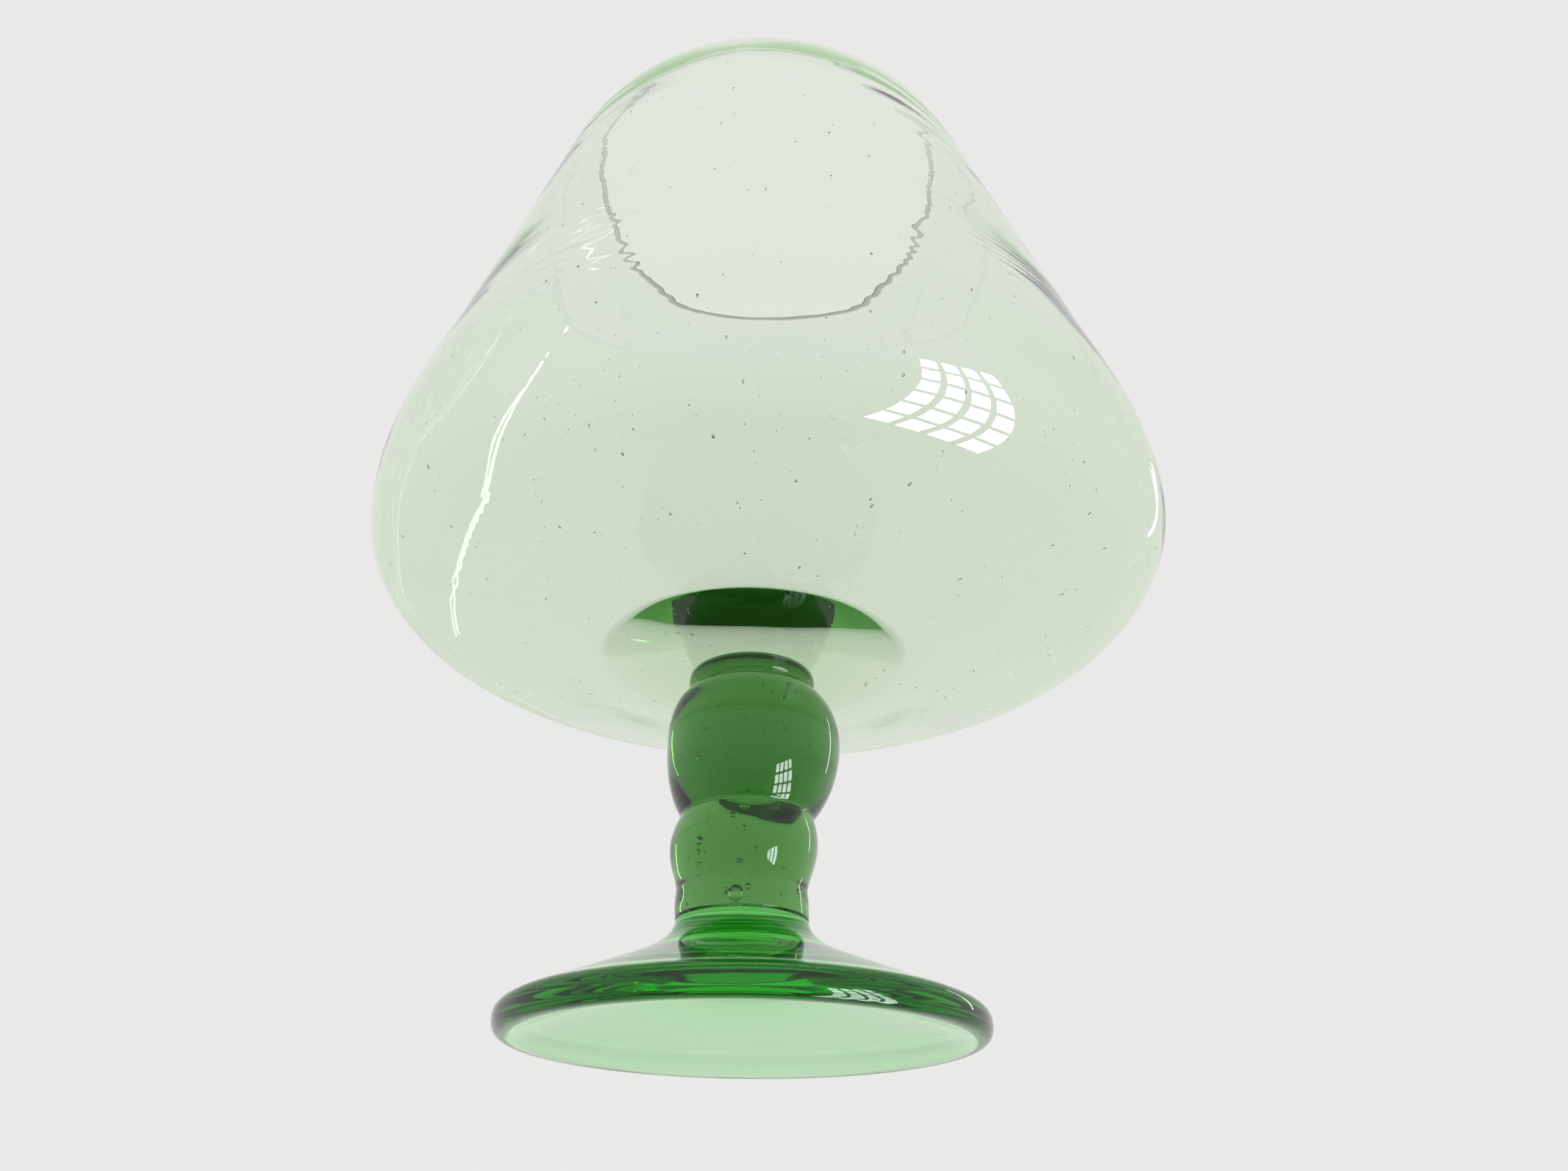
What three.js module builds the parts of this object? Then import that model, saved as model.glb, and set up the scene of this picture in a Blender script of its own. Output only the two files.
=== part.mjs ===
// A footed vase in the shape of a large brandy snifter: a pale blown bowl on a solid green stem.
// Six gathers of glass, joined hot, stand on one another. Each is turned about the vase's axis and
// meets its neighbour on a flat disc. Units are millimetres, +Z is up, the foot's resting ring lies
// in the plane z = 0, and the Z axis runs through the middle of the bowl's widest circle.

import * as THREE from 'three';

// Heights of the joints between the gathers, and of the rim.
const FOOT_TOP = 29;
const SHAFT_TOP = 37;
const LOWER_KNOP_TOP = 56.5;
const UPPER_KNOP_TOP = 93;
const COLLAR_TOP = 98;
const RIM_TOP = 300;

// Stem radii: where the gathers meet, and where each is widest.
const SHAFT_RADIUS = 17.3;
const SHAFT_JOINT_RADIUS = 16.9;
const LOWER_KNOP_RADIUS = 19.35;
const KNOP_JOINT_RADIUS = 17.35;
const UPPER_KNOP_RADIUS = 23.6;
const COLLAR_JOINT_RADIUS = 16.5;
const COLLAR_RADIUS = 17.6;

// Stem heights where the two knops are widest.
const LOWER_KNOP_WIDEST = 48.5;
const UPPER_KNOP_WIDEST = 77;

// Foot: a domed disc of even thickness with a heavier rounded edge and a flat ring to rest on.
const FOOT_RADIUS = 59.75;
const FOOT_EDGE = { radius: 55, height: 8.2, widest: 3.8 };
const FOOT_SLOPE_TOP = { radius: 40, height: 14.2 };
const RESTING_RING = { inner: 55, outer: 57.2 };
const FOOT_HOLLOW = 11.6;

// Bowl, outside: nearly flat round the stem, then a shallow cone, a tight belly, a straight taper
// and a mouth that turns in.
const UNDERSIDE = { radius: 92, height: 112.3 };
const BELLY = { radius: 114.25, height: 136 };
const WALL_START = { radius: 104.2, height: 178 };
const WALL_END = { radius: 78, height: 268 };
const MOUTH_RADIUS = 63.1;

// Bowl, inside: thin walls, a thicker underside, and a low dome over the stem.
const WALL = 2.2;
const UNDERSIDE_WALL = 3.4;
const DOME = { radius: 43, edge: 104.4, top: 106.4 };

// The blown glass wanders off a straight axis: [height, sideways shift], smooth from row to row.
const AXIS_WANDER = [
  [0, -4.5],
  [40, -5.8],
  [77, -3.6],
  [COLLAR_TOP, -4.6],
  [BELLY.height, 0],
  [RIM_TOP, -3.3],
];

const BOWL_SIDES = 60;
const FOOT_SIDES = 60;
const STEM_SIDES = 40;

const paleGlass = new THREE.MeshStandardMaterial({
  color: 0xd3ddcf, roughness: 0.05, metalness: 0, transparent: true, opacity: 0.35,
});
const greenGlass = new THREE.MeshStandardMaterial({
  color: 0x3d6b22, roughness: 0.05, metalness: 0, transparent: true, opacity: 0.6,
});

// How far the axis lies from x = 0 at a height.
function wander(height) {
  const above = AXIS_WANDER.findIndex(([z]) => z >= height);
  if (above === 0) return AXIS_WANDER[0][1];
  if (above < 0) return AXIS_WANDER[AXIS_WANDER.length - 1][1];
  const [lowZ, lowX] = AXIS_WANDER[above - 1];
  const [highZ, highX] = AXIS_WANDER[above];
  return lowX + (highX - lowX) * THREE.MathUtils.smoothstep(height, lowZ, highZ);
}

// A path whose x is a radius and whose y is a height, turned into a list of outline points.
function outline(draw, divisions) {
  const path = new THREE.Path();
  draw(path);
  return path.getPoints(divisions);
}

// Turns an outline about the Z axis, then shifts each height sideways by the axis's wander.
function turned(name, points, sides, material) {
  const geometry = new THREE.LatheGeometry(points, sides);
  geometry.rotateX(Math.PI / 2);
  const position = geometry.getAttribute('position');
  for (let i = 0; i < position.count; i += 1) {
    position.setX(i, position.getX(i) + wander(position.getZ(i)));
  }
  geometry.computeVertexNormals();
  const mesh = new THREE.Mesh(geometry, material);
  mesh.name = name;
  return mesh;
}

// The disc that the shaft stands on, hollowed below so that only its outer ring touches the table.
function makeFoot() {
  const points = outline((path) => {
    path.moveTo(0, FOOT_HOLLOW);
    path.bezierCurveTo(20, FOOT_HOLLOW - 0.1, 43, 8, RESTING_RING.inner, 0);
    path.lineTo(RESTING_RING.outer, 0);
    path.bezierCurveTo(FOOT_RADIUS - 0.8, 0, FOOT_RADIUS, 1.4, FOOT_RADIUS, FOOT_EDGE.widest);
    path.bezierCurveTo(FOOT_RADIUS, 6.4, 57.6, 7.2, FOOT_EDGE.radius, FOOT_EDGE.height);
    path.lineTo(FOOT_SLOPE_TOP.radius, FOOT_SLOPE_TOP.height);
    path.bezierCurveTo(27, 19.4, 18, 22.5, SHAFT_JOINT_RADIUS, FOOT_TOP);
    path.lineTo(0, FOOT_TOP);
  }, 5);
  return turned('foot', points, FOOT_SIDES, greenGlass);
}

// The short plain length between the foot's flare and the lower knop.
function makeShaft() {
  const points = outline((path) => {
    path.moveTo(0, FOOT_TOP);
    path.lineTo(SHAFT_JOINT_RADIUS, FOOT_TOP);
    path.bezierCurveTo(SHAFT_RADIUS, 31, SHAFT_RADIUS, 34.5, SHAFT_JOINT_RADIUS, SHAFT_TOP);
    path.lineTo(0, SHAFT_TOP);
  }, 4);
  return turned('stem_shaft', points, STEM_SIDES, greenGlass);
}

function makeLowerKnop() {
  const widest = LOWER_KNOP_RADIUS;
  const points = outline((path) => {
    path.moveTo(0, SHAFT_TOP);
    path.lineTo(SHAFT_JOINT_RADIUS, SHAFT_TOP);
    path.bezierCurveTo(17.4, 41, widest, 43.8, widest, LOWER_KNOP_WIDEST);
    path.bezierCurveTo(widest, 51.7, 18.3, 54.6, KNOP_JOINT_RADIUS, LOWER_KNOP_TOP);
    path.lineTo(0, LOWER_KNOP_TOP);
  }, 5);
  return turned('lower_knop', points, STEM_SIDES, greenGlass);
}

function makeUpperKnop() {
  const widest = UPPER_KNOP_RADIUS;
  const points = outline((path) => {
    path.moveTo(0, LOWER_KNOP_TOP);
    path.lineTo(KNOP_JOINT_RADIUS, LOWER_KNOP_TOP);
    path.bezierCurveTo(20.8, 60.5, widest, 68, widest, UPPER_KNOP_WIDEST);
    path.bezierCurveTo(widest, 84.5, 21.4, 89.4, COLLAR_JOINT_RADIUS, UPPER_KNOP_TOP);
    path.lineTo(0, UPPER_KNOP_TOP);
  }, 6);
  return turned('upper_knop', points, STEM_SIDES, greenGlass);
}

// The ring of glass that joins the bowl to the stem.
function makeCollar() {
  const middle = (UPPER_KNOP_TOP + COLLAR_TOP) / 2;
  const points = outline((path) => {
    path.moveTo(0, UPPER_KNOP_TOP);
    path.lineTo(COLLAR_JOINT_RADIUS, UPPER_KNOP_TOP);
    path.quadraticCurveTo(COLLAR_RADIUS, UPPER_KNOP_TOP + 0.3, COLLAR_RADIUS, middle);
    path.quadraticCurveTo(COLLAR_RADIUS, COLLAR_TOP - 0.3, COLLAR_JOINT_RADIUS, COLLAR_TOP);
    path.lineTo(0, COLLAR_TOP);
  }, 3);
  return turned('bowl_collar', points, STEM_SIDES, greenGlass);
}

// One closed outline: up the outside, over the lip, and down the inside to the axis.
function makeBowl() {
  const taper = (WALL_END.radius - WALL_START.radius) / (WALL_END.height - WALL_START.height);
  const lip = WALL / 2;
  const inside = {
    underside: UNDERSIDE.height + UNDERSIDE_WALL,
    belly: BELLY.radius - WALL,
    wallStart: WALL_START.radius - WALL,
    wallEnd: WALL_END.radius - WALL,
  };
  const points = outline((path) => {
    path.moveTo(0, COLLAR_TOP);
    path.lineTo(COLLAR_JOINT_RADIUS, COLLAR_TOP);
    path.bezierCurveTo(50, 99.3, 70, 106, UNDERSIDE.radius, UNDERSIDE.height);
    path.bezierCurveTo(105, 115.2, BELLY.radius, 121.5, BELLY.radius, BELLY.height);
    path.bezierCurveTo(
      BELLY.radius, BELLY.height + 14,
      WALL_START.radius - 15 * taper, WALL_START.height - 15,
      WALL_START.radius, WALL_START.height,
    );
    path.lineTo(WALL_END.radius, WALL_END.height);
    path.bezierCurveTo(
      WALL_END.radius + 12 * taper, WALL_END.height + 12,
      MOUTH_RADIUS + 8, RIM_TOP - 8,
      MOUTH_RADIUS, RIM_TOP - lip,
    );
    path.absarc(MOUTH_RADIUS - lip, RIM_TOP - lip, lip, 0, Math.PI);
    path.bezierCurveTo(
      MOUTH_RADIUS + 7.5 - WALL, RIM_TOP - 9,
      inside.wallEnd + 12 * taper, WALL_END.height + 12,
      inside.wallEnd, WALL_END.height,
    );
    path.lineTo(inside.wallStart, WALL_START.height);
    path.bezierCurveTo(
      inside.wallStart - 15 * taper, WALL_START.height - 15,
      inside.belly, BELLY.height + 14,
      inside.belly, BELLY.height,
    );
    path.bezierCurveTo(inside.belly, 123, 104, 118.4, 91, inside.underside);
    path.bezierCurveTo(72, 110.3, 52, 104.6, DOME.radius, DOME.edge);
    path.quadraticCurveTo(DOME.radius / 2, DOME.top, 0, DOME.top);
  }, 5);
  return turned('bowl', points, BOWL_SIDES, paleGlass);
}

const vase = new THREE.Group();
vase.add(makeFoot());
vase.add(makeShaft());
vase.add(makeLowerKnop());
vase.add(makeUpperKnop());
vase.add(makeCollar());
vase.add(makeBowl());

export default vase;
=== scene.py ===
import math
import random

import bmesh
import bpy
from mathutils import Euler, Matrix, Vector, noise


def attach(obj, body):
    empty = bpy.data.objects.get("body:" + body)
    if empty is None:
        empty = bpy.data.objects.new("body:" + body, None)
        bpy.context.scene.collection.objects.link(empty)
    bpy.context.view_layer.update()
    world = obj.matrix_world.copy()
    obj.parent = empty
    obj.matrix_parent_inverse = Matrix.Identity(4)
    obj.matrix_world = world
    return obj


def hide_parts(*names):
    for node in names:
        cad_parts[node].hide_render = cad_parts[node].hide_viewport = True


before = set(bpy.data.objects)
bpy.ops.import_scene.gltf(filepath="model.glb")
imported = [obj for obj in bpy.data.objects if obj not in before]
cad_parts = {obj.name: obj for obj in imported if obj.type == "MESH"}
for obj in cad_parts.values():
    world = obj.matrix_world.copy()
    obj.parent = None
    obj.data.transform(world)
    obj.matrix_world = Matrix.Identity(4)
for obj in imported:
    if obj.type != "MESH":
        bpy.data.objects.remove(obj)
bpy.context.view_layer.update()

# A footed glass vase in the shape of a large snifter: a green foot, a green stem with two knops
# and a collar, and a pale blown bowl, each turned about the vase's wandering axis. Outlines and
# bubbles are in millimetres, and the meshes, lights and camera are in metres.

MM = 0.001
AXIS_TOLERANCE = 1e-6
STEM_NODES = ("stem_shaft", "lower_knop", "upper_knop", "bowl_collar")

# Heights of the hot joints between the gathers, and of the rim.
FOOT_TOP = 29.0
SHAFT_TOP = 37.0
LOWER_KNOP_TOP = 56.5
UPPER_KNOP_TOP = 93.0
COLLAR_TOP = 98.0
RIM_TOP = 300.0

# The foot bites this far into the stem and the stem into the bowl, each with a slightly narrower
# disc, so that the joints have no air in them.
JOINT_BITE = 0.03
FOOT_BITE_RADIUS = 16.8
STEM_BITE_RADIUS = 16.3

# Foot: a hollow below, a flat ring to rest on, a rounded edge and a slope up to the flare.
FOOT_HOLLOW = 11.6
RESTING_RING_INNER = 55.7
RESTING_RING_OUTER = 56.9
FOOT_RADIUS = 59.75
FOOT_WIDEST = 3.8
FOOT_EDGE_TOP = (55.0, 8.2)
FOOT_SLOPE_TOP = (40.0, 14.2)

# Stem radii: where the gathers meet, and where each is widest.
SHAFT_RADIUS = 17.3
SHAFT_JOINT_RADIUS = 16.9
LOWER_KNOP_RADIUS = 19.35
LOWER_KNOP_WIDEST = 48.5
KNOP_JOINT_RADIUS = 17.35
UPPER_KNOP_RADIUS = 23.6
UPPER_KNOP_WIDEST = 77.0
COLLAR_RADIUS = 17.6
COLLAR_WIDEST = 95.5
COLLAR_JOINT_RADIUS = 16.5

# How finely the pieces are turned, and the longest step between points along the outlines.
FOOT_SIDES = 144
STEM_SIDES = 128
BOWL_SIDES = 150
GREEN_STEP = 1.0
UNDERSIDE_STEP = 2.0
OUTER_WALL_STEP = 1.5
LIP_AND_INNER_WALL_STEP = 1.0
INNER_FLOOR_STEP = 1.8

# The stem's bubbles: how many tiny ones and how far out they reach, and the larger ones, by place
# and radii.
TINY_BUBBLE_COUNT = 90
TINY_BUBBLE_REACH = 13.0
STEM_BUBBLES = (
    ((-5.5, -9.0, 54.5), (1.1, 1.0, 0.7)),
    ((-8.0, -10.0, 52.5), (0.8, 0.7, 0.7)),
    ((-15.0, -8.0, 47.5), (0.9, 0.7, 0.9)),
    ((-6.5, -10.0, 42.0), (1.0, 0.9, 0.6)),
    ((-7.0, -9.0, 33.5), (1.6, 1.2, 2.0)),
    ((-4.6, -8.0, 35.2), (0.7, 0.7, 0.8)),
    ((-15.5, -8.0, 70.0), (0.6, 0.6, 0.8)),
)

# Seeds tried in the bowl's wall, fewer of which are kept where the bowl is narrow. They lie this
# deep below the outer skin, and none lies by the outline's last points, next to the lip.
SEED_COUNT = 2200
SEED_DEPTH = (0.8, 1.3)
SEED_FREE_POINTS = 8

# Bowl: outer corners of its outline, its wall, and the inner floor that rises in a low dome.
UNDERSIDE = (92, 112.3)
INNER_UNDERSIDE = (91, 115.7)
BELLY_RADIUS = 114.25
BELLY_HEIGHT = 136.0
WALL = 2.2
MOUTH_RADIUS = 63.1
WALL_START = (104.2, 178.0)
WALL_END = (78.0, 268.0)
DOME_RADIUS = 43.0
DOME_EDGE = 104.4
DOME_TOP = 106.4

# The bowl's unevenness, as (how far it moves the glass, how long a swell is).
OUT_OF_ROUND = (0.28, 85.0)
SWELLS = (0.10, 34.0)
WALL_UNEVENNESS = (0.16, 30.0)
FLOOR_UNEVENNESS = (0.16, 24.0)
JACK_MARKS = (0.10, 9.0)
CHATTER = (0.045, 5.0)

# The green glass's unevenness, in the same way.
TOOLED_SWELLS = (0.16, 30.0)
TOOLED_DIMPLES = (0.05, 11.0)
FOOT_SWELLS = (0.22, 26.0)

# The blown glass wanders off a straight axis: (height, sideways shift).
AXIS_WANDER = (
    (0.0, -4.5),
    (40.0, -5.8),
    (UPPER_KNOP_WIDEST, -3.6),
    (COLLAR_TOP, -4.6),
    (BELLY_HEIGHT, 0.0),
    (RIM_TOP, -3.3),
)


def smoothstep(x, low, high):
    """Rises smoothly from 0 at low to 1 at high."""
    t = min(1.0, max(0.0, (x - low) / (high - low)))
    return t * t * (3.0 - 2.0 * t)


def wander(height):
    """How far the axis lies from x = 0 at a height, both in millimetres."""
    if height <= AXIS_WANDER[0][0]:
        return AXIS_WANDER[0][1]
    for (low, low_x), (high, high_x) in zip(AXIS_WANDER, AXIS_WANDER[1:]):
        if height <= high:
            return low_x + (high_x - low_x) * smoothstep(height, low, high)
    return AXIS_WANDER[-1][1]


class Outline:
    """A path of (radius, height) points, no more than about step millimetres apart."""

    def __init__(self, start, step):
        self.points = [start]
        self.step = step

    def _add(self, curve, rough_length):
        count = max(2, math.ceil(rough_length / self.step))
        self.points += [curve(i / count) for i in range(1, count + 1)]

    def line(self, end):
        start = self.points[-1]
        length = math.dist(start, end)
        self._add(
            lambda t: (
                start[0] + (end[0] - start[0]) * t,
                start[1] + (end[1] - start[1]) * t,
            ),
            length,
        )

    def bezier(self, first, second, end):
        start = self.points[-1]

        def curve(t):
            s = 1.0 - t
            weights = (s**3, 3 * s * s * t, 3 * s * t * t, t**3)
            corners = (start, first, second, end)
            return tuple(sum(w * c[k] for w, c in zip(weights, corners)) for k in (0, 1))

        length = math.dist(start, first) + math.dist(first, second) + math.dist(second, end)
        self._add(curve, length)

    def quadratic(self, middle, end):
        start = self.points[-1]
        first = tuple(s + (m - s) * 2 / 3 for s, m in zip(start, middle))
        second = tuple(e + (m - e) * 2 / 3 for e, m in zip(end, middle))
        self.bezier(first, second, end)

    def half_turn(self, centre, radius):
        """Over the top of a circle, with the points three times as close as elsewhere."""
        self._add(
            lambda t: (
                centre[0] + radius * math.cos(math.pi * t),
                centre[1] + radius * math.sin(math.pi * t),
            ),
            math.pi * radius * 3,
        )


def foot_outline():
    """The foot, from the hollow under it to the flare that the shaft stands on."""
    path = Outline((0.0, FOOT_HOLLOW), GREEN_STEP)
    path.bezier((20, 11.5), (43, 8.0), (54.3, 0.5))
    path.bezier((54.7, 0.23), (55.1, 0.04), (RESTING_RING_INNER, 0.0))
    path.line((RESTING_RING_OUTER, 0.0))
    path.bezier((58.95, 0.0), (FOOT_RADIUS, 1.4), (FOOT_RADIUS, FOOT_WIDEST))
    path.bezier((FOOT_RADIUS, 6.4), (57.6, 7.2), FOOT_EDGE_TOP)
    path.line(FOOT_SLOPE_TOP)
    path.bezier((27, 19.4), (18, 22.5), (SHAFT_JOINT_RADIUS, FOOT_TOP))
    path.line((FOOT_BITE_RADIUS, FOOT_TOP + JOINT_BITE))
    path.line((0.0, FOOT_TOP + JOINT_BITE))
    return path.points


def stem_outline():
    """Shaft, two knops and collar as one piece of glass."""
    path = Outline((0.0, FOOT_TOP), GREEN_STEP)
    path.line((SHAFT_JOINT_RADIUS, FOOT_TOP))
    path.bezier((SHAFT_RADIUS, 31), (SHAFT_RADIUS, 34.5), (SHAFT_JOINT_RADIUS, SHAFT_TOP))
    lower, upper = LOWER_KNOP_RADIUS, UPPER_KNOP_RADIUS
    path.bezier((17.4, 41), (lower, 43.8), (lower, LOWER_KNOP_WIDEST))
    path.bezier((lower, 51.7), (18.3, 54.6), (KNOP_JOINT_RADIUS, LOWER_KNOP_TOP))
    path.bezier((20.8, 60.5), (upper, 68), (upper, UPPER_KNOP_WIDEST))
    path.bezier((upper, 84.5), (21.4, 89.4), (COLLAR_JOINT_RADIUS, UPPER_KNOP_TOP))
    path.quadratic((COLLAR_RADIUS, 93.3), (COLLAR_RADIUS, COLLAR_WIDEST))
    path.quadratic((COLLAR_RADIUS, 97.7), (COLLAR_JOINT_RADIUS, COLLAR_TOP))
    path.line((STEM_BITE_RADIUS, COLLAR_TOP + JOINT_BITE))
    path.line((0.0, COLLAR_TOP + JOINT_BITE))
    return path.points


def bowl_outline():
    """The bowl's outer and inner skins, joined by the fire-polished lip."""
    taper = (WALL_END[0] - WALL_START[0]) / (WALL_END[1] - WALL_START[1])
    lip = WALL / 2
    path = Outline((0.0, COLLAR_TOP), UNDERSIDE_STEP)
    path.line((COLLAR_JOINT_RADIUS, COLLAR_TOP))
    path.bezier((50, 99.3), (70, 106.0), UNDERSIDE)
    path.step = OUTER_WALL_STEP
    path.bezier((105, 115.2), (BELLY_RADIUS, 121.5), (BELLY_RADIUS, BELLY_HEIGHT))
    path.bezier(
        (BELLY_RADIUS, BELLY_HEIGHT + 14),
        (WALL_START[0] - 15 * taper, WALL_START[1] - 15),
        WALL_START,
    )
    path.line(WALL_END)
    path.step = LIP_AND_INNER_WALL_STEP
    path.bezier(
        (WALL_END[0] + 12 * taper, WALL_END[1] + 12),
        (MOUTH_RADIUS + 8, RIM_TOP - 8),
        (MOUTH_RADIUS, RIM_TOP - lip),
    )
    path.half_turn((MOUTH_RADIUS - lip, RIM_TOP - lip), lip)
    path.bezier(
        (MOUTH_RADIUS + 7.5 - WALL, RIM_TOP - 9),
        (WALL_END[0] - WALL + 12 * taper, WALL_END[1] + 12),
        (WALL_END[0] - WALL, WALL_END[1]),
    )
    path.line((WALL_START[0] - WALL, WALL_START[1]))
    path.bezier(
        (WALL_START[0] - WALL - 15 * taper, WALL_START[1] - 15),
        (BELLY_RADIUS - WALL, BELLY_HEIGHT + 14),
        (BELLY_RADIUS - WALL, BELLY_HEIGHT),
    )
    path.step = INNER_FLOOR_STEP
    path.bezier((BELLY_RADIUS - WALL, 123), (104, 118.4), INNER_UNDERSIDE)
    path.bezier((72, 110.3), (52, 104.6), (DOME_RADIUS, DOME_EDGE))
    path.quadratic((DOME_RADIUS / 2, DOME_TOP), (0.0, DOME_TOP))
    return path.points


BOWL_PATH = bowl_outline()
LIP_TOP = max(range(len(BOWL_PATH)), key=lambda index: BOWL_PATH[index][1])


def turned(outline, sides, wobble):
    """A closed bmesh turned from an outline that starts and ends on the axis.

    wobble gives each corner's shift outwards and upwards, from its radius, height, angle and place
    in the outline.
    """
    bm = bmesh.new()
    rings = []
    for index, (radius, height) in enumerate(outline):
        shift = wander(height)
        if radius < AXIS_TOLERANCE:
            rings.append([bm.verts.new((shift * MM, 0.0, height * MM))])
            continue
        ring = []
        for side in range(sides):
            angle = math.tau * side / sides
            out, up = wobble(radius, height, angle, index)
            r = radius + out
            place = (r * math.cos(angle) + shift, r * math.sin(angle), height + up)
            ring.append(bm.verts.new(Vector(place) * MM))
        rings.append(ring)
    for low, high in zip(rings, rings[1:]):
        for side in range(sides):
            after = (side + 1) % sides
            if len(low) == 1:
                bm.faces.new((low[0], high[after], high[side]))
            elif len(high) == 1:
                bm.faces.new((low[side], low[after], high[0]))
            else:
                bm.faces.new((low[side], low[after], high[after], high[side]))
    return bm


def around(angle, radius, height, scale, seed):
    """Smooth noise that closes on itself round the vase, with swells about scale long."""
    place = Vector((math.cos(angle) * radius, math.sin(angle) * radius, height)) / scale
    return noise.noise(place + Vector((seed * 17.3, seed * 5.1, seed * 9.7)))


def bowl_wobble(radius, height, angle, index):
    """Blown walls: slightly out of round, uneven in thickness, with jack marks below the lip and
    fine chatter on the inside above the belly. The joint to the stem stays flat and round."""
    if height < COLLAR_TOP + 0.01:
        return 0.0, 0.0
    inner = index > LIP_TOP
    free = smoothstep(radius, 17.0, 45.0)
    below_lip = 1.0 - smoothstep(height, 288.0, 298.0)
    out = OUT_OF_ROUND[0] * around(angle, radius, height, OUT_OF_ROUND[1], 1) * free
    out += SWELLS[0] * around(angle, radius, height, SWELLS[1], 2) * free
    up = 0.0
    steep = smoothstep(height, 116.0, 140.0)
    if inner:
        size, length = WALL_UNEVENNESS
        out += size * around(angle, radius, height, length, 3) * (steep * below_lip)
        size, length = FLOOR_UNEVENNESS
        up += size * around(angle, radius, height, length, 4) * free * (1.0 - steep)
    rings = smoothstep(height, 225.0, 265.0) * below_lip
    patchy = max(0.0, 0.25 + 1.5 * around(angle, radius, height, 40.0, 5))
    phase = height / JACK_MARKS[1] + 1.6 * around(angle, radius, height, 60.0, 6)
    shift = 0.6 if inner else 0.0
    out += JACK_MARKS[0] * rings * patchy * math.sin(math.tau * phase + shift)
    if inner:
        band = smoothstep(height, 138.0, 152.0) * (1.0 - smoothstep(height, 172.0, 192.0))
        patches = math.sin(4.0 * angle) ** 2
        swing = 2.5 * around(angle, radius, height, 26.0, 10)
        wave = math.sin(math.tau * (height / CHATTER[1] + swing))
        out += CHATTER[0] * band * patches * wave
    return out, up


def green_wobble(radius, height, angle, _index):
    """Tooled glass: a faint unevenness that leaves the resting ring and the piece's ends true."""
    if height > COLLAR_TOP - 0.5:
        return 0.0, 0.0
    off_joint = smoothstep(abs(height - FOOT_TOP), 0.1, 4.0)
    free = smoothstep(height, 0.2, 4.0) * off_joint
    size, length = TOOLED_SWELLS
    out = size * around(angle, radius, height, length, 7) * smoothstep(radius, 2.0, 12.0) * free
    size, length = TOOLED_DIMPLES
    out += size * around(angle, radius, height, length, 8) * smoothstep(radius, 4.0, 14.0) * free
    up = 0.0
    if height < FOOT_TOP:
        up = FOOT_SWELLS[0] * around(angle, radius, height, FOOT_SWELLS[1], 9) * free
    return out, up


def unit_ball(detail):
    """Corners and faces of a ball of radius 1, with the faces turned to look inwards."""
    bm = bmesh.new()
    bmesh.ops.create_icosphere(bm, subdivisions=detail, radius=1.0)
    corners = [vert.co.copy() for vert in bm.verts]
    faces = [[vert.index for vert in reversed(face.verts)] for face in bm.faces]
    bm.free()
    return corners, faces


# Balls by how finely they are divided: tiny bubbles, larger seeds, and the stem's large bubbles.
COARSE, MEDIUM, FINE = 1, 2, 3
BALLS = {detail: unit_ball(detail) for detail in (COARSE, MEDIUM, FINE)}


def add_bubble(bm, centre, radii, turn, detail):
    """A gas bubble: a closed shell that faces into itself, so that the glass stays outside it."""
    corners, faces = BALLS[detail]
    scale = Matrix.Diagonal([r * MM for r in radii])
    middle = Vector(centre) * MM
    verts = [bm.verts.new(middle + turn @ (scale @ corner)) for corner in corners]
    for face in faces:
        bm.faces.new([verts[index] for index in face])


def finish_mesh(bm, name, material, replaced):
    """Turns a bmesh into a piece that rides on the root body and replaces those CAD nodes."""
    for face in bm.faces:
        face.smooth = True
    mesh = bpy.data.meshes.new(name)
    bm.to_mesh(mesh)
    bm.free()
    mesh.materials.append(material)
    piece = bpy.data.objects.new(name, mesh)
    bpy.context.scene.collection.objects.link(piece)
    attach(piece, "root")
    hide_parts(*replaced)


# Glass: how strongly it bends light, and how fine its striae and its faint film are.
GLASS_IOR = 1.52
STRIAE_SCALE = (14.0, 14.0, 60.0)
FILM_SCALE = 42.0


def new_material(name):
    material = bpy.data.materials.new(name)
    material.use_nodes = True
    nodes = material.node_tree.nodes
    nodes.clear()
    return material, nodes, material.node_tree.links


def add_node(nodes, kind, **inputs):
    node = nodes.new(kind)
    for key, value in inputs.items():
        node.inputs[key.replace("_", " ")].default_value = value
    return node


def paint_shade_on_top(nodes, links, coordinates, tint, low, high, shade):
    """Paints shade on a skin: fades a tint to a darker one between two heights; returns the socket
    that carries it.
    """
    split = nodes.new("ShaderNodeSeparateXYZ")
    links.new(coordinates.outputs["Object"], split.inputs["Vector"])
    fade = add_node(nodes, "ShaderNodeMapRange", From_Min=low * MM, From_Max=high * MM)
    links.new(split.outputs["Z"], fade.inputs["Value"])
    mix = nodes.new("ShaderNodeMix")
    mix.data_type = "RGBA"
    mix.inputs["B"].default_value = (*shade, 1.0)
    links.new(fade.outputs["Result"], mix.inputs["Factor"])
    links.new(tint, mix.inputs["A"])
    return mix.outputs["Result"]


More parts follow.
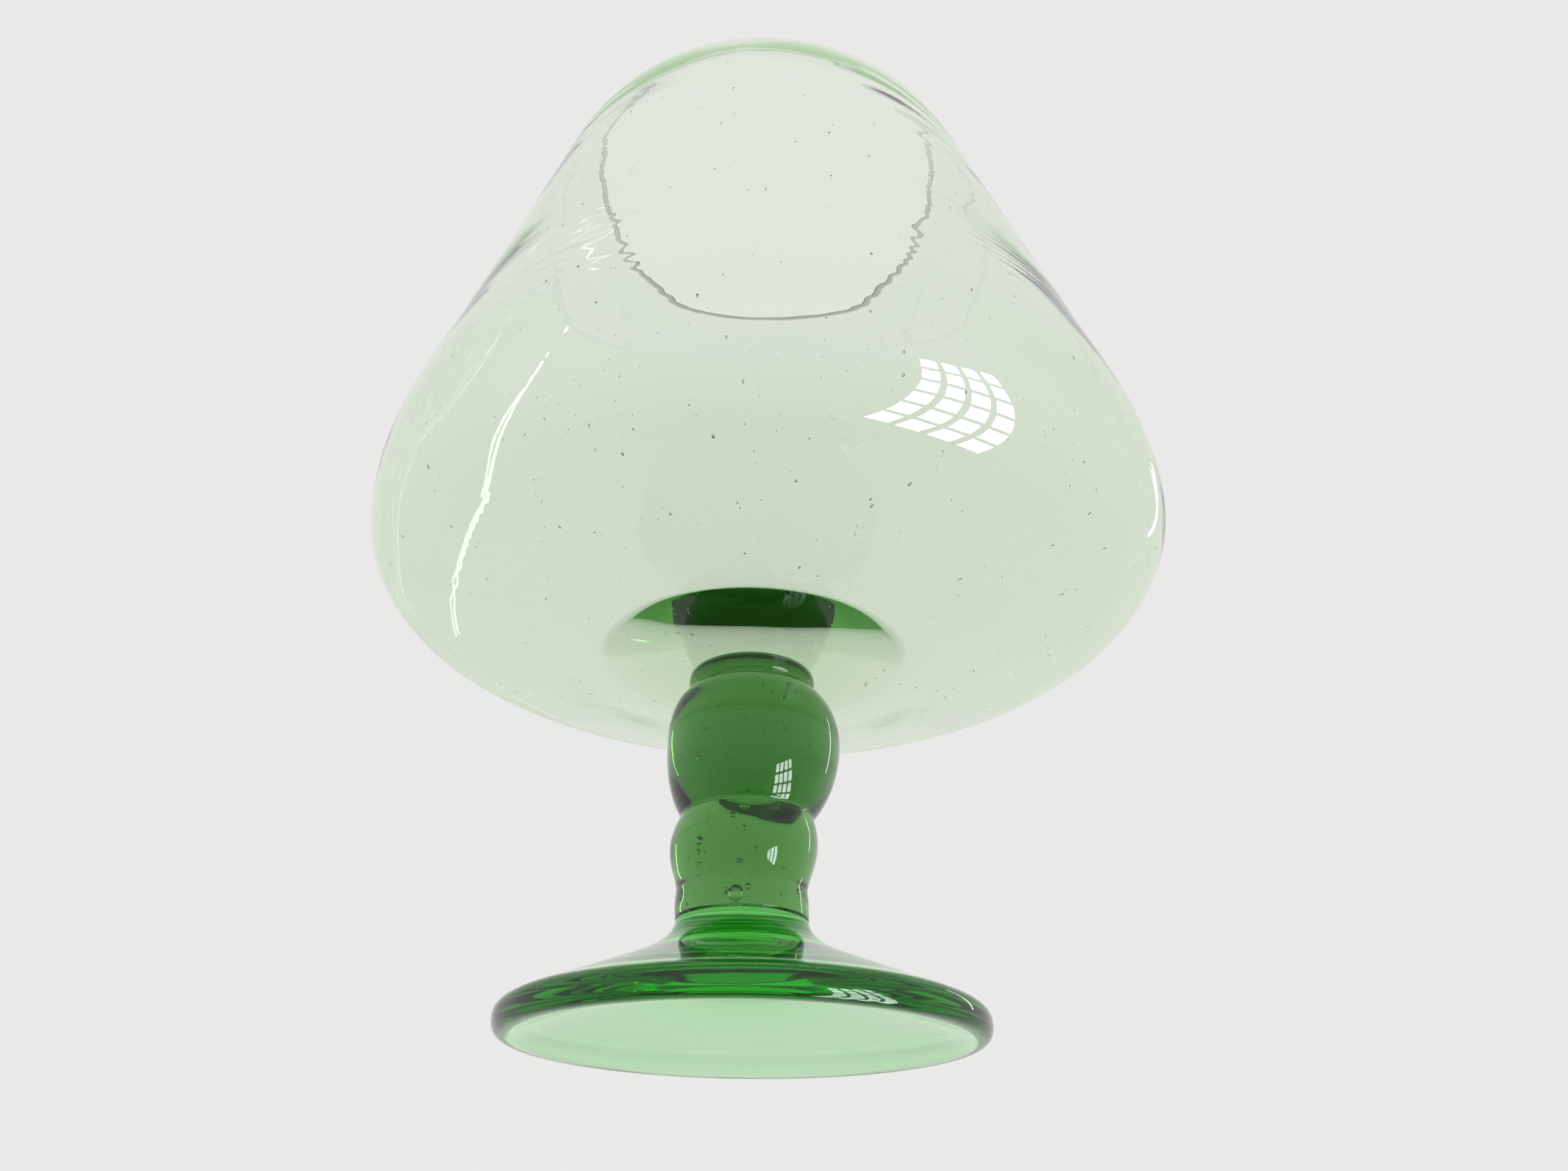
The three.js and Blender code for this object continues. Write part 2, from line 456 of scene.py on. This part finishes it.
def glass(name, tints, roughness, density, colour, waves, top=None):
    """Solid coloured glass: colour by absorption, and faint striae, film and waviness on its skin.

    top, where given, paints shade on the skin: the heights where that starts and ends, and the dark
    tint.
    """
    material, nodes, links = new_material(name)
    output = nodes.new("ShaderNodeOutputMaterial")
    surface = nodes.new("ShaderNodeBsdfPrincipled")
    surface.inputs["Transmission Weight"].default_value = 1.0
    surface.inputs["IOR"].default_value = GLASS_IOR
    links.new(surface.outputs["BSDF"], output.inputs["Surface"])

    volume = nodes.new("ShaderNodeVolumeAbsorption")
    volume.inputs["Density"].default_value = density
    volume.inputs["Color"].default_value = (*colour, 1.0)
    links.new(volume.outputs["Volume"], output.inputs["Volume"])

    coordinates = nodes.new("ShaderNodeTexCoord")
    striae_map = add_node(nodes, "ShaderNodeMapping", Scale=STRIAE_SCALE)
    links.new(coordinates.outputs["Object"], striae_map.inputs["Vector"])
    striae = add_node(nodes, "ShaderNodeTexNoise", Scale=1.0, Detail=3.0, Roughness=0.5)
    links.new(striae_map.outputs["Vector"], striae.inputs["Vector"])
    tint = nodes.new("ShaderNodeMix")
    tint.data_type = "RGBA"
    tint.inputs["A"].default_value = (*tints[0], 1.0)
    tint.inputs["B"].default_value = (*tints[1], 1.0)
    links.new(striae.outputs["Fac"], tint.inputs["Factor"])
    skin = tint.outputs["Result"]
    # Painted shade: the skin fades to a dark tint above a height.
    if top:
        skin = paint_shade_on_top(nodes, links, coordinates, skin, *top)
    links.new(skin, surface.inputs["Base Color"])

    film = add_node(nodes, "ShaderNodeTexNoise", Scale=FILM_SCALE, Detail=4.0, Roughness=0.6)
    links.new(coordinates.outputs["Object"], film.inputs["Vector"])
    film_range = add_node(
        nodes,
        "ShaderNodeMapRange",
        From_Min=0.45,
        From_Max=0.8,
        To_Min=roughness[0],
        To_Max=roughness[1],
    )
    links.new(film.outputs["Fac"], film_range.inputs["Value"])
    links.new(film_range.outputs["Result"], surface.inputs["Roughness"])

    wave_map = add_node(nodes, "ShaderNodeMapping", Scale=waves["stretch"])
    links.new(coordinates.outputs["Object"], wave_map.inputs["Vector"])
    wave = add_node(nodes, "ShaderNodeTexNoise", Scale=waves["scale"], Detail=2.0, Roughness=0.45)
    links.new(wave_map.outputs["Vector"], wave.inputs["Vector"])
    bump = add_node(nodes, "ShaderNodeBump", Strength=waves["strength"], Distance=waves["depth"])
    links.new(wave.outputs["Fac"], bump.inputs["Height"])
    links.new(bump.outputs["Normal"], surface.inputs["Normal"])
    return material


# The lip and the collar look darker because their rounded glass bends and mirrors dark
# surroundings; their skins get painted shade, a dark tint the glass lacks.
LIP_PAINTED_SHADE = (0.24, 0.27, 0.22)
COLLAR_PAINTED_SHADE = (0.42, 0.6, 0.36)

GREEN_TINTS = ((0.93, 0.98, 0.92), (1.0, 1.0, 0.99))
GREEN_ROUGHNESS = (0.0, 0.025)
GREEN_WAVES = {"stretch": (1.0, 1.0, 1.6), "scale": 60.0, "strength": 0.3, "depth": 0.0003}

PALE_GLASS = glass(
    "pale_glass",
    tints=((0.975, 0.992, 0.975), (0.995, 1.0, 0.99)),
    roughness=(0.0, 0.02),
    density=45.0,
    colour=(0.3, 0.69, 0.12),
    waves={"stretch": (1.0, 1.0, 2.0), "scale": 45.0, "strength": 0.2, "depth": 0.0002},
    # Painted shade: a dark band on the skin round the lip.
    top=(RIM_TOP - 1.5, RIM_TOP - 0.9, LIP_PAINTED_SHADE),
)
STEM_GLASS = glass(
    "stem_glass",
    tints=GREEN_TINTS,
    roughness=GREEN_ROUGHNESS,
    density=100.0,
    colour=(0.28, 0.65, 0.14),
    waves=GREEN_WAVES,
    # Painted shade: a dark skin on the collar.
    top=(UPPER_KNOP_TOP + 0.2, UPPER_KNOP_TOP + 0.8, COLLAR_PAINTED_SHADE),
)

# The foot's rim is seen edgeways, through a long way of glass, so it is given less absorption.
FOOT_GLASS = glass(
    "foot_glass",
    tints=GREEN_TINTS,
    roughness=GREEN_ROUGHNESS,
    density=60.0,
    colour=(0.06, 0.83, 0.03),
    waves=GREEN_WAVES,
)

foot = turned(foot_outline(), FOOT_SIDES, green_wobble)
finish_mesh(foot, "glass_foot", FOOT_GLASS, ("foot",))

# The solid stem, with the bubbles that the gaffer trapped in it.
stem = turned(stem_outline(), STEM_SIDES, green_wobble)
rng = random.Random(41)


def inside_stem(height):
    """A random place in the solid stem at a height."""
    reach = TINY_BUBBLE_REACH * math.sqrt(rng.random())
    angle = rng.uniform(0.0, math.tau)
    return (reach * math.cos(angle) + wander(height), reach * math.sin(angle), height)


for _ in range(TINY_BUBBLE_COUNT):
    size = rng.uniform(0.18, 0.42)
    turn = Euler((rng.uniform(-0.6, 0.6), rng.uniform(-0.6, 0.6), rng.uniform(0, 3)))
    place = inside_stem(rng.uniform(31.0, 92.0))
    radii = (size, size, size * rng.uniform(1.0, 1.9))
    add_bubble(stem, place, radii, turn.to_matrix(), COARSE)
for place, radii in STEM_BUBBLES:
    add_bubble(stem, place, radii, Matrix.Identity(3), FINE)
finish_mesh(stem, "glass_stem", STEM_GLASS, STEM_NODES)

# The bowl, with seeds in its wall.
bowl = turned(BOWL_PATH, BOWL_SIDES, bowl_wobble)
outer_path = [point for point in BOWL_PATH[:LIP_TOP] if point[0] > COLLAR_JOINT_RADIUS + 0.5]


def inside_wall(index, angle, depth):
    """A place that deep in the bowl's wall, and the turn that stretches a bubble up along it."""
    (before, low), (after, high) = outer_path[index - 1], outer_path[index + 1]
    along = Vector((after - before, high - low)).normalized()
    radius, height = outer_path[index]
    inward = Vector((-along.y, along.x))
    reach = radius + inward.x * depth
    place = Vector((math.cos(angle) * reach, math.sin(angle) * reach, height + inward.y * depth))
    place.x += wander(height)
    aside = Vector((-math.sin(angle), math.cos(angle), 0.0))
    through = Vector((math.cos(angle) * inward.x, math.sin(angle) * inward.x, inward.y))
    turn = Matrix((through, aside, through.cross(aside))).transposed()
    return place, turn


for _ in range(SEED_COUNT):
    index = rng.randrange(1, len(outer_path) - SEED_FREE_POINTS)
    if rng.random() * BELLY_RADIUS > outer_path[index][0]:
        continue
    place, turn = inside_wall(index, rng.uniform(0.0, math.tau), rng.uniform(*SEED_DEPTH))
    size = 0.09 + 0.26 * rng.random() ** 4
    radii = (size * 0.8, size, size * rng.uniform(1.0, 2.2))
    add_bubble(bowl, place, radii, turn, COARSE if size < 0.16 else MEDIUM)
finish_mesh(bowl, "blown_bowl", PALE_GLASS, ("bowl",))


# Stage: a pale floor, a pale surround, a window and two soft boxes.
FLOOR_RADIUS = 20.0
FLOOR_CORNERS = 48
FLOOR_HEIGHT = -0.0003


def make_floor():
    """A wide pale disc that shows only its upper face, as the main viewpoint lies below it."""
    bm = bmesh.new()
    turns = [math.tau * i / FLOOR_CORNERS for i in range(FLOOR_CORNERS)]
    edge = [(FLOOR_RADIUS * math.cos(t), FLOOR_RADIUS * math.sin(t), FLOOR_HEIGHT) for t in turns]
    bm.faces.new([bm.verts.new(place) for place in edge])
    mesh = bpy.data.meshes.new("floor")
    bm.to_mesh(mesh)
    bm.free()
    material, nodes, links = new_material("floor_paper")
    output = nodes.new("ShaderNodeOutputMaterial")
    paper = nodes.new("ShaderNodeBsdfPrincipled")
    paper.inputs["Roughness"].default_value = 0.8
    paper.inputs["Specular IOR Level"].default_value = 0.1
    grain = add_node(nodes, "ShaderNodeTexNoise", Scale=3.0, Detail=4.0)
    ramp = nodes.new("ShaderNodeMix")
    ramp.data_type = "RGBA"
    ramp.inputs["A"].default_value = (0.84, 0.836, 0.825, 1.0)
    ramp.inputs["B"].default_value = (0.88, 0.876, 0.868, 1.0)
    links.new(grain.outputs["Fac"], ramp.inputs["Factor"])
    links.new(ramp.outputs["Result"], paper.inputs["Base Color"])
    clear = nodes.new("ShaderNodeBsdfTransparent")
    side = nodes.new("ShaderNodeNewGeometry")
    mix = nodes.new("ShaderNodeMixShader")
    links.new(side.outputs["Backfacing"], mix.inputs[0])
    links.new(paper.outputs["BSDF"], mix.inputs[1])
    links.new(clear.outputs["BSDF"], mix.inputs[2])
    links.new(mix.outputs["Shader"], output.inputs["Surface"])
    mesh.materials.append(material)
    floor = bpy.data.objects.new("floor", mesh)
    bpy.context.scene.collection.objects.link(floor)
    floor.visible_glossy = False


# How light the surround is, from straight down at 0 to straight up at 1.
SURROUND = ((0.12, 0.5), (0.4, 0.78), (0.5, 0.82), (0.94, 0.82))
SURROUND_BELOW = (0.30, 0.30, 0.30)
SURROUND_ABOVE = (0.86, 0.86, 0.85)


def make_surround():
    """A world that is dim below, pale at the sides and a little lighter overhead."""
    world = bpy.data.worlds.new("surround")
    world.use_nodes = True
    nodes, links = world.node_tree.nodes, world.node_tree.links
    nodes.clear()
    output = nodes.new("ShaderNodeOutputWorld")
    light = nodes.new("ShaderNodeBackground")
    light.inputs["Strength"].default_value = 1.0
    where = nodes.new("ShaderNodeTexCoord")
    split = nodes.new("ShaderNodeSeparateXYZ")
    fade = nodes.new("ShaderNodeMapRange")
    fade.inputs["From Min"].default_value = -1.0
    ramp = nodes.new("ShaderNodeValToRGB")
    stops = ramp.color_ramp
    stops.elements[0].position = 0.0
    stops.elements[0].color = (*SURROUND_BELOW, 1.0)
    stops.elements[1].position = 1.0
    stops.elements[1].color = (*SURROUND_ABOVE, 1.0)
    for position, grey in SURROUND:
        stop = stops.elements.new(position)
        stop.color = (grey, grey * 0.995, grey * 0.98, 1.0)
    links.new(where.outputs["Generated"], split.inputs["Vector"])
    links.new(split.outputs["Z"], fade.inputs["Value"])
    links.new(fade.outputs["Result"], ramp.inputs["Fac"])
    links.new(ramp.outputs["Color"], light.inputs["Color"])
    links.new(light.outputs["Background"], output.inputs["Surface"])
    bpy.context.scene.world = world


STEM_MIDDLE = Vector((0.0, -0.02, 0.07))


def facing_stem(centre, long_way):
    """Three directions for a flat thing at centre: across, along near long_way, and at the stem."""
    ahead = (STEM_MIDDLE - Vector(centre)).normalized()
    along = Vector(long_way)
    along = (along - ahead * along.dot(ahead)).normalized()
    return along.cross(-ahead), along, ahead


def soft_box(name, centre, long_way, size, power):
    """A rectangular lamp that faces the stem, its size given across and then along long_way."""
    across, along, ahead = facing_stem(centre, long_way)
    data = bpy.data.lights.new(name, "AREA")
    data.shape = "RECTANGLE"
    data.size, data.size_y = size
    data.energy = power
    lamp = bpy.data.objects.new(name, data)
    turn = Matrix((across, along, -ahead)).transposed()
    lamp.matrix_world = Matrix.Translation(Vector(centre)) @ turn.to_4x4()
    bpy.context.scene.collection.objects.link(lamp)
    return lamp


def window(centre, long_way, size, panes, bars, strength):
    """A tall window of glowing panes, which the curved glass mirrors as a small bright grid.

    size and panes are given across and then along long_way, and bars is the half width of the
    glazing bars, as a part of a pane.
    """
    across, along, _ahead = facing_stem(centre, long_way)
    wide, tall = size[0] / panes[0], size[1] / panes[1]
    half_wide, half_tall = wide * (0.5 - bars[0]), tall * (0.5 - bars[1])
    bm = bmesh.new()
    for column in range(panes[0]):
        for row in range(panes[1]):
            middle = Vector(centre) + across * (wide * (column - (panes[0] - 1) / 2))
            middle += along * (tall * (row - (panes[1] - 1) / 2))
            corners = ((-1, -1), (1, -1), (1, 1), (-1, 1))
            bm.faces.new(
                [
                    bm.verts.new(middle + across * (x * half_wide) + along * (y * half_tall))
                    for x, y in corners
                ]
            )
    mesh = bpy.data.meshes.new("window")
    bm.to_mesh(mesh)
    bm.free()
    material, nodes, links = new_material("daylight")
    output = nodes.new("ShaderNodeOutputMaterial")
    glow = nodes.new("ShaderNodeEmission")
    glow.inputs["Strength"].default_value = strength
    coordinates = nodes.new("ShaderNodeTexCoord")
    sky = add_node(nodes, "ShaderNodeTexNoise", Scale=5.0, Detail=3.0)
    links.new(coordinates.outputs["Object"], sky.inputs["Vector"])
    shade = nodes.new("ShaderNodeMix")
    shade.data_type = "RGBA"
    shade.inputs["A"].default_value = (0.45, 0.50, 0.55, 1.0)
    shade.inputs["B"].default_value = (1.0, 1.0, 1.0, 1.0)
    links.new(sky.outputs["Fac"], shade.inputs["Factor"])
    links.new(shade.outputs["Result"], glow.inputs["Color"])
    links.new(glow.outputs["Emission"], output.inputs["Surface"])
    mesh.materials.append(material)
    piece = bpy.data.objects.new("window", mesh)
    bpy.context.scene.collection.objects.link(piece)
    piece.visible_camera = False


def make_camera():
    """The photograph's viewpoint: low in front of the foot, tipped up along the vase."""
    place = Vector((-0.0022, -0.2923, -0.0454))
    tip, pan, roll = math.radians(30.809), math.radians(1.261), math.radians(0.550)
    ahead = Vector(
        (math.sin(pan) * math.cos(tip), math.cos(pan) * math.cos(tip), math.sin(tip))
    )
    level = Vector((math.cos(pan), -math.sin(pan), 0.0))
    up = level.cross(ahead)
    right = level * math.cos(roll) + up * math.sin(roll)
    top = up * math.cos(roll) - level * math.sin(roll)
    data = bpy.data.cameras.new("camera")
    data.sensor_width = 36.0
    data.lens = 26.20
    data.clip_start = 0.005
    camera = bpy.data.objects.new("camera", data)
    turn = Matrix((right, top, -ahead)).transposed()
    camera.matrix_world = Matrix.Translation(place) @ turn.to_4x4()
    bpy.context.scene.collection.objects.link(camera)
    bpy.context.scene.camera = camera


make_floor()
make_surround()
make_camera()
window(
    centre=(0.72, -0.34, -0.72),
    long_way=(-0.15, 0.70, -0.70),
    size=(0.50, 1.6),
    panes=(4, 6),
    bars=(0.13, 0.1),
    strength=16.0,
)
soft_box("side", centre=(1.0, 0.6, 0.42), long_way=(0, 0, 1), size=(0.026, 0.6), power=0.5)
overhead = soft_box(
    "overhead",
    centre=(-0.3, 0.2, 1.3),
    long_way=(1, 0, 0),
    size=(1.6, 1.6),
    power=4.5,
)
# This lamp only lights the floor from above: the glass neither mirrors it nor shows it.
overhead.visible_glossy = False
overhead.visible_transmission = False

scene = bpy.context.scene
scene.view_settings.view_transform = "Standard"
scene.cycles.max_bounces = 32
scene.cycles.transmission_bounces = 32
scene.cycles.glossy_bounces = 16
scene.cycles.transparent_max_bounces = 16
